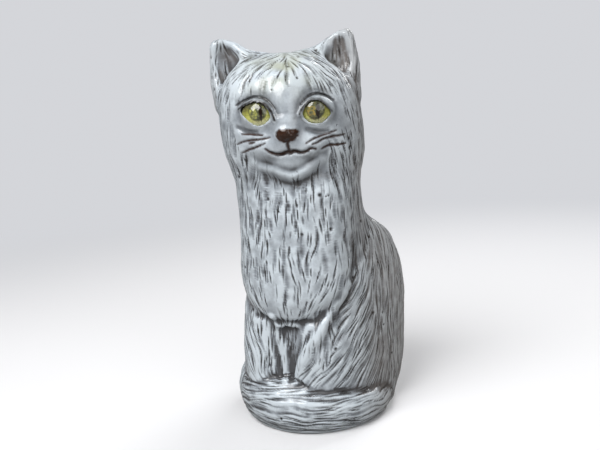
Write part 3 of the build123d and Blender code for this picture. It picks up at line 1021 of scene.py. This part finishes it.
def buildPiece(name, material):
    mine = quads[label == partOf[name]]
    used = np.unique(mine)
    number = np.full(len(points), -1)
    number[used] = np.arange(len(used))
    outer = number[mine]
    count = len(used)
    inner = outer[:, ::-1] + count
    a, b = edgesOf(outer)
    keys = a * (2 * count) + b
    back = b * (2 * count) + a
    rim = ~np.isin(keys, back)
    walls = np.stack([b[rim], a[rim], a[rim] + count, b[rim] + count], 1)
    faces = np.concatenate([outer, inner, walls])
    vertices = np.concatenate([points[used], innerPoints[used]])
    smooth = np.zeros((len(faces) * 4, 3))
    smooth[:len(outer) * 4] = shading[used][outer.ravel()]
    mesh = buildMesh(name + "_clay", vertices, faces, smooth)
    for tone, values in tones.items():
        layer = mesh.attributes.new(tone, "FLOAT", "POINT")
        both = np.concatenate([values[used], values[used]])
        layer.data.foreach_set("value", both.astype(np.float32))
    addPiece(name + "_clay", mesh, material, name)


# Glazes: small helpers for their nodes first

def newMaterial(name):
    material = bpy.data.materials.new(name)
    material.use_nodes = True
    return material, material.node_tree, material.node_tree.nodes["Principled BSDF"]


def put(tree, socket, value):
    # A socket is fed by another node, or takes a colour or a number
    if isinstance(value, bpy.types.NodeSocket):
        tree.links.new(value, socket)
    else:
        socket.default_value = (*value, 1) if isinstance(value, tuple) else value


def feed(tree, made, inputs):
    for key, value in inputs.items():
        put(tree, made.inputs[key], value)


def node(tree, kind, inputs={}, **values):
    made = tree.nodes.new(kind)
    for key, value in values.items():
        setattr(made, key, value)
    feed(tree, made, inputs)
    return made


def rampBetween(tree, source, stops):
    # Stops are (place, colour) or (place, grey)
    ramp = node(tree, "ShaderNodeValToRGB", {"Fac": source})
    while len(ramp.color_ramp.elements) < len(stops):
        ramp.color_ramp.elements.new(0.5)
    for element, (place, colour) in zip(ramp.color_ramp.elements, stops):
        element.position = place
        element.color = (*colour, 1) if isinstance(colour, tuple) else (colour, colour, colour, 1)
    return ramp.outputs["Color"]


def mixColour(tree, factor, first, second):
    mix = node(tree, "ShaderNodeMix", data_type="RGBA")
    for name, value in (("Factor", factor), ("A", first), ("B", second)):
        put(tree, next(socket for socket in mix.inputs if socket.name == name and socket.enabled), value)
    return next(socket for socket in mix.outputs if socket.enabled)


def mathNode(tree, operation, *values, clamp=False):
    made = node(tree, "ShaderNodeMath", operation=operation, use_clamp=clamp)
    for socket, value in zip(made.inputs, values):
        put(tree, socket, value)
    return made.outputs[0]


def scaled(tree, value, times, plus=0.0):
    return mathNode(tree, "MULTIPLY_ADD", value, times, plus)


def attribute(tree, name):
    return node(tree, "ShaderNodeAttribute", attribute_name=name).outputs["Fac"]


def noiseNode(tree, scale, detail=3.0, roughness=0.55):
    coordinates = node(tree, "ShaderNodeTexCoord").outputs["Object"]
    return node(tree, "ShaderNodeTexNoise", {
        "Vector": coordinates, "Scale": scale, "Detail": detail, "Roughness": roughness}).outputs["Fac"]


def bumped(tree, height, strength, distance):
    bump = node(tree, "ShaderNodeBump", {"Height": height, "Strength": strength, "Distance": distance})
    return bump.outputs["Normal"]


glaze = {
    "white": (0.68, 0.75, 0.81), "body": (0.34, 0.375, 0.415), "pool": (0.09, 0.093, 0.10),
    "stops": (0.16, 0.46, 0.86),  # tones at which it is white, body and pool
    "middle": 0.40, "poolAndShade": 0.62,  # the flat tone, and how much a hollow deepens it
    "dark": (0.022, 0.018, 0.016),
    "warmShade": (0.30, 0.265, 0.24), "warmShadeShare": 0.5,
    "green": (0.50, 0.53, 0.42), "greenShare": 0.8,
    "oxide": (0.022, 0.013, 0.010), "rust": (0.075, 0.032, 0.018),
    "cloudScale": 160, "grainScale": 900, "rustScale": 1300,
    "roughness": 0.16, "ior": 1.5, "grainBump": 0.12,
}


def glazeMaterial():
    material, tree, shader = newMaterial("milk glaze")
    cloud = noiseNode(tree, glaze["cloudScale"], 4.0)
    grain = noiseNode(tree, glaze["grainScale"], 2.0)
    # The tone deepens with glaze pooling and with the painted shade in broad hollows and low down
    tone = scaled(tree, attribute(tree, "poolAndShade"), glaze["poolAndShade"], glaze["middle"])
    tone = mathNode(tree, "ADD", tone, scaled(tree, cloud, 0.5, -0.23))
    tone = mathNode(tree, "ADD", tone, scaled(tree, grain, 0.14, -0.07))
    colours = (glaze["white"], glaze["body"], glaze["pool"])
    colour = rampBetween(tree, tone, list(zip(glaze["stops"], colours)))
    # The forehead's green tint of the glaze, then the warm painted shade of the left flank, back and ears
    for tint in ("green", "warmShade"):
        share = scaled(tree, attribute(tree, tint), glaze[tint + "Share"])
        colour = mixColour(tree, share, colour, glaze[tint])
    # The glaze darkens in the grooves and pits, along the painted lines and with the painted shade in the
    # folds
    patchy = scaled(tree, cloud, 0.9, 0.5)
    darkness = mathNode(tree, "MULTIPLY", attribute(tree, "dark"), patchy, clamp=True)
    colour = mixColour(tree, darkness, colour, glaze["dark"])
    rust = mixColour(tree, noiseNode(tree, glaze["rustScale"], 2.0), glaze["oxide"], glaze["rust"])
    colour = mixColour(tree, attribute(tree, "oxide"), colour, rust)
    feed(tree, shader, {"Base Color": colour, "Roughness": glaze["roughness"], "IOR": glaze["ior"],
                        "Normal": bumped(tree, grain, glaze["grainBump"], 0.0002)})
    return material


bareFoot = {
    "low": (0.36, 0.27, 0.19), "high": (0.50, 0.40, 0.30), "speck": (0.10, 0.06, 0.04),
    "cloudScale": 120, "speckScale": 1400, "roughness": 0.85, "bump": 0.5,
}


def bareMaterial():
    material, tree, shader = newMaterial("bare stoneware")
    speck = noiseNode(tree, bareFoot["speckScale"], 3.0, 0.7)
    cloud = noiseNode(tree, bareFoot["cloudScale"], 3.0)
    colour = rampBetween(tree, cloud, [(0.3, bareFoot["low"]), (0.7, bareFoot["high"])])
    colour = mixColour(tree, rampBetween(tree, speck, [(0.66, 0), (0.72, 1)]), colour, bareFoot["speck"])
    feed(tree, shader, {"Base Color": colour, "Roughness": bareFoot["roughness"],
                        "Normal": bumped(tree, speck, bareFoot["bump"], 0.0003)})
    return material


milk = glazeMaterial()
for name in pieceNames:
    if name != "base_disc":
        buildPiece(name, milk)
print("pieces built")

# Foot disc with its vent

footDisc = {"inset": 0.9, "thickness": 5.0, "rim": 0.7, "segments": 120}


def buildFoot():
    low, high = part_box("base_disc")
    centre = np.array((low + high) / 2)[:2] / mm
    half = np.array(high - low)[:2] / mm / 2 - footDisc["inset"]
    hole = np.array(ventHole["pos_m"][:2]) / mm
    radius = ventHole["dims"]["r_mm"]
    rim, top = footDisc["rim"], footDisc["thickness"]
    # profile from the outer edge round to the hole: share towards the hole, inset, height
    profile = [(0, 0, top), (0, 0, rim), (0, 0.3 * rim, 0.3 * rim), (0, rim, 0.05), (0.12, 0, 0.12),
               (0.6, 0, 0.18), (0.9, 0, 0.1), (1, -rim, 0.0), (1, -0.3 * rim, 0.3 * rim), (1, 0, rim),
               (1, 0, top - rim), (1, 0, top)]
    count = footDisc["segments"]
    angles = np.linspace(0, 2 * pi, count, endpoint=False)
    around = np.stack([np.cos(angles), np.sin(angles)], 1)
    outerRing = centre + around * half
    holeRing = hole + around * radius
    inward = holeRing - outerRing
    inward /= np.linalg.norm(inward, axis=1, keepdims=True)
    vertices = np.concatenate([
        np.column_stack([outerRing * (1 - share) + holeRing * share + inward * inset, np.full(count, height)])
        for share, inset, height in profile])
    here = np.arange(count)
    after = (here + 1) % count
    faces = []
    for level in range(len(profile)):
        low, high = level * count, (level + 1) % len(profile) * count
        faces.append(np.stack([high + here, high + after, low + after, low + here], 1))
    faces = np.concatenate(faces)
    addPiece("foot_disc", buildMesh("foot_disc", vertices, faces), bareMaterial(), "base_disc")


buildFoot()

# Eyeballs

eyeGlaze = {
    "rings": 48, "segments": 96,
    "shade": (0.14, 0.13, 0.05), "ball": (0.38, 0.38, 0.09), "lime": (0.66, 0.66, 0.16),
    "pale": (0.84, 0.82, 0.46), "iris": (0.17, 0.18, 0.09), "irisEdge": (0.07, 0.075, 0.045),
    "slit": (0.018, 0.010, 0.006),
    "irisRadius": 4.1, "swell": 0.35,  # mm
    "amber": {"left": (0.46, 0.33, 0.08), "right": (0.55, 0.56, 0.14)},  # flecks in the iris
    "crackScale": 520, "crackShare": 0.3, "roughness": 0.06, "coat": 0.6, "coatRoughness": 0.03,
}


def eyeMaterial(side):
    # Everything is laid out in mm on the ball: x across, z up from the middle of the iris
    eye = eyes[side]
    material, tree, shader = newMaterial("eye glaze " + side)
    position = node(tree, "ShaderNodeTexCoord").outputs["Object"]

    def along(spot, axis):
        place = Vector(fromFace(spot[0], 0, spot[1])) * mm
        shift = node(tree, "ShaderNodeVectorMath", {0: position, 1: place}, operation="SUBTRACT")
        return node(tree, "ShaderNodeVectorMath", {0: shift.outputs["Vector"], 1: Vector(axis) / mm},
                    operation="DOT_PRODUCT").outputs["Value"]

    def add(first, second):
        return mathNode(tree, "ADD", first, second)

    def squared(value):
        return mathNode(tree, "MULTIPLY", value, value)

    wobble = scaled(tree, noiseNode(tree, 420, 3.0), 2.4, -1.2)
    irisX, irisZ = along(eye["iris"], faceAcross), along(eye["iris"], (0, 0, 1))
    slitX, slitZ = along(eye["slit"], faceAcross), along(eye["slit"], (0, 0, 1))
    radius = mathNode(tree, "SQRT", add(squared(irisX), squared(irisZ)))
    radius = mathNode(tree, "DIVIDE", add(radius, scaled(tree, wobble, 0.45)), eyeGlaze["irisRadius"])
    patch = scaled(tree, noiseNode(tree, 260, 2.0), 0.5, -0.25)
    # Painted shade: the ball is darkest at its top under the lid and palest at its lower edge
    colour = rampBetween(tree, add(scaled(tree, irisZ, -0.14, 0.40), patch),
                         [(0.15, eyeGlaze["shade"]), (0.45, eyeGlaze["ball"]), (0.75, eyeGlaze["lime"]),
                          (1.0, eyeGlaze["pale"])])
    inside = rampBetween(tree, add(noiseNode(tree, 700, 3.0), scaled(tree, irisX, -0.035)),
                         [(0.36, eyeGlaze["irisEdge"]), (0.52, eyeGlaze["iris"]),
                          (0.70, eyeGlaze["amber"][side])])
    colour = mixColour(tree, rampBetween(tree, radius, [(0.80, 1), (0.93, 0)]), colour, inside)
    edge = scaled(tree, rampBetween(tree, radius, [(0.76, 0), (0.88, 1), (1.0, 0)]), 0.75)
    colour = mixColour(tree, edge, colour, eyeGlaze["irisEdge"])
    slit = add(mathNode(tree, "ABSOLUTE", add(slitX, scaled(tree, wobble, 0.5))),
               scaled(tree, squared(slitZ), 0.05))
    colour = mixColour(tree, rampBetween(tree, slit, [(0.55, 1), (1.0, 0)]), colour, eyeGlaze["slit"])
    # The dark lash line along the top of the ball, spreading down over it as painted shade under the lid
    lashShade = rampBetween(tree, scaled(tree, add(irisZ, wobble), 0.1), [(0.12, 0), (0.40, 0.88)])
    colour = mixColour(tree, lashShade, colour, eyeGlaze["irisEdge"])
    crack = node(tree, "ShaderNodeTexVoronoi", feature="DISTANCE_TO_EDGE")
    feed(tree, crack, {"Vector": position, "Scale": eyeGlaze["crackScale"]})
    lines = rampBetween(tree, crack.outputs["Distance"], [(0.02, 1), (0.06, 0)])
    colour = mixColour(tree, scaled(tree, lines, eyeGlaze["crackShare"]), colour, eyeGlaze["slit"])
    feed(tree, shader, {"Base Color": colour, "Roughness": eyeGlaze["roughness"],
                        "Coat Weight": eyeGlaze["coat"], "Coat Roughness": eyeGlaze["coatRoughness"]})
    return material


def buildEye(side):
    eye = eyes[side]
    centre, turn = ballFrame(eye), eye["turn"]
    rows, columns = eyeGlaze["rings"], eyeGlaze["segments"]
    vertices, faces = [], []
    for row in range(1, rows):
        polar = pi * row / rows
        for column in range(columns):
            angle = 2 * pi * column / columns
            across = eye["halfWidth"] * sin(polar) * cos(angle)
            up = eye["halfHeight"] * sin(polar) * sin(angle)
            out = face["ballDepth"] * cos(polar)
            if out > 0:  # a low swell over the iris, and small unevenness of the glaze
                out += eyeGlaze["swell"] * max(0.0, 1 - (polar / 0.9) ** 2)
                out += 0.05 * sin(3 * across + 1) * sin(2.3 * up) * cos(polar)
            x = cos(turn) * across + sin(turn) * out
            depth = -sin(turn) * across + cos(turn) * out
            vertices.append(fromFace(centre[0] + x, centre[1] + depth, centre[2] + up))
    for row in range(rows - 2):
        for column in range(columns):
            after = (column + 1) % columns
            a, b = row * columns + column, row * columns + after
            faces.append((a, b, b + columns, a + columns))
    front, behind = len(vertices), len(vertices) + 1
    for way in (1, -1):
        out = way * face["ballDepth"] + (eyeGlaze["swell"] if way > 0 else 0)
        vertices.append(fromFace(centre[0] + sin(turn) * out, centre[1] + cos(turn) * out, centre[2]))
    last = (rows - 2) * columns
    caps = []
    for column in range(columns):
        after = (column + 1) % columns
        caps.append((front, after, column))
        caps.append((behind, last + column, last + after))
    mesh = plainMesh("eyeball_" + side, [tuple(corner * mm) for corner in vertices], faces + caps)
    addPiece("eyeball_" + side, mesh, eyeMaterial(side), "eye_" + side)


buildEye("left")
buildEye("right")
print("eyes built")

# Floor, light and camera

studio = {
    "floor": (0.90, 0.90, 0.915), "wall": (0.66, 0.67, 0.70), "bounce": (0.25, 0.24, 0.23),
    "fade": (0.12, 0.75),  # metres from the cat over which the floor turns into wall
    "flat": 1.5, "sweep": 0.7, "wallHeight": 1.4, "around": 128,  # metres, and how many sides
    "worldStrength": 0.26,
    "lamps": {  # place, size and watts
        "key": ((-0.18, -0.72, 0.86), 0.8, 11.5),
        "fill": ((0.75, -0.55, 0.35), 0.8, 2.6),
        "rim": ((0.2, 0.8, 0.7), 0.6, 5.0),
    },
}
view = {
    "azimuth": 24.0, "distance": 310.0, "height": 140.0, "tilt": 9.4, "roll": 3.8, "pan": 1.06,
    "behindVent": -5.0,  # mm from the vent to the point that the camera circles
    "lens": 39.0, "sensor": 36,
}
middle = (Vector(cadBounds[0]) + Vector(cadBounds[1])) / 2


def mixShader(tree, factor, first, second):
    return node(tree, "ShaderNodeMixShader", {0: factor, 1: first, 2: second}).outputs["Shader"]


def cameraRay(tree):
    return node(tree, "ShaderNodeLightPath").outputs["Is Camera Ray"]


def floorMaterial():
    material, tree, shader = newMaterial("pale floor")
    feed(tree, shader, {"Base Color": studio["floor"], "Roughness": 0.9})
    dim = node(tree, "ShaderNodeBsdfDiffuse", {"Color": studio["bounce"]})
    # the sheet fades into plain white paper away from the cat's shadow
    paper = node(tree, "ShaderNodeEmission", {"Color": studio["wall"]})
    place = node(tree, "ShaderNodeTexCoord").outputs["Object"]
    reach = node(tree, "ShaderNodeVectorMath", {0: place}, operation="LENGTH").outputs["Value"]
    far = node(tree, "ShaderNodeMapRange", {
        "Value": reach, "From Min": studio["fade"][0], "From Max": studio["fade"][1],
    }, interpolation_type="SMOOTHSTEP")
    faded = mixShader(tree, far.outputs["Result"], shader.outputs["BSDF"], paper.outputs["Emission"])
    seen = mixShader(tree, cameraRay(tree), dim.outputs["BSDF"], faded)
    tree.links.new(seen, tree.nodes["Material Output"].inputs["Surface"])
    return material


def buildStage():
    # A round sheet, flat under the cat and swept up at its far edge
    flat, sweep, around = studio["flat"], studio["sweep"], studio["around"]
    profile = [(flat * share, 0.0) for share in (0.25, 0.5, 0.75, 1.0)]
    profile += [(flat + sweep * sin(turn), sweep - sweep * cos(turn))
                for turn in np.linspace(0, pi / 2, 24)[1:]]
    profile.append((flat + sweep, studio["wallHeight"]))
    corners = [(0.0, 0.0, 0.0)]
    for reach, rise in profile:
        corners += [(reach * cos(2 * pi * k / around), reach * sin(2 * pi * k / around), rise)
                    for k in range(around)]
    faces = [(0, 1 + k, 1 + (k + 1) % around) for k in range(around)]
    for ring in range(len(profile) - 1):
        low, high = 1 + ring * around, 1 + (ring + 1) * around
        faces += [(low + k, high + k, high + (k + 1) % around, low + (k + 1) % around)
                  for k in range(around)]
    mesh = plainMesh("floor", corners, faces)
    mesh.materials.append(floorMaterial())
    addToScene("floor", mesh)


def buildWorld():
    world = bpy.data.worlds.new("studio")
    world.use_nodes = True
    bpy.context.scene.world = world
    tree = world.node_tree
    light = tree.nodes["Background"]
    feed(tree, light, {"Color": (1, 1, 1), "Strength": studio["worldStrength"]})
    shown = node(tree, "ShaderNodeBackground", {"Color": studio["wall"]})
    mix = mixShader(tree, cameraRay(tree), light.outputs["Background"], shown.outputs["Background"])
    tree.links.new(mix, tree.nodes["World Output"].inputs["Surface"])


def addLamp(name, place, size, watts):
    lamp = bpy.data.lights.new(name, "AREA")
    lamp.shape = "DISK"
    lamp.size = size
    lamp.energy = watts
    holder = addToScene(name, lamp)
    holder.location = place
    holder.rotation_euler = (middle - Vector(place)).to_track_quat("-Z", "Y").to_euler()


def buildCamera():
    # The camera stands to the cat's own left, a little above, tilted down and rolled slightly
    angle, pan, tilt, roll = (radians(view[key]) for key in ("azimuth", "pan", "tilt", "roll"))
    base = Vector((ventHole["pos_m"][0], ventHole["pos_m"][1] + view["behindVent"] * mm, 0))
    away = Vector((view["distance"] * sin(angle), -view["distance"] * cos(angle), view["height"]))
    right = Vector((cos(angle), sin(angle), 0))
    ahead = Vector((-sin(angle), cos(angle), 0))
    right, ahead = right * cos(pan) + ahead * sin(pan), ahead * cos(pan) - right * sin(pan)
    up = Vector((0, 0, 1))
    aim = ahead * cos(tilt) - up * sin(tilt)
    up = up * cos(tilt) + ahead * sin(tilt)
    right, up = right * cos(roll) - up * sin(roll), up * cos(roll) + right * sin(roll)
    lens = bpy.data.cameras.new("camera")
    lens.sensor_width = view["sensor"]
    lens.lens = view["lens"]
    camera = addToScene("camera", lens)
    turn = Matrix((right, up, -aim)).transposed().to_4x4()
    camera.matrix_world = Matrix.Translation(base + away * mm) @ turn
    bpy.context.scene.camera = camera


buildStage()
buildWorld()
for lampName, (place, size, watts) in studio["lamps"].items():
    addLamp(lampName, place, size, watts)
buildCamera()
bpy.context.scene.view_settings.view_transform = "Standard"
print("studio built")
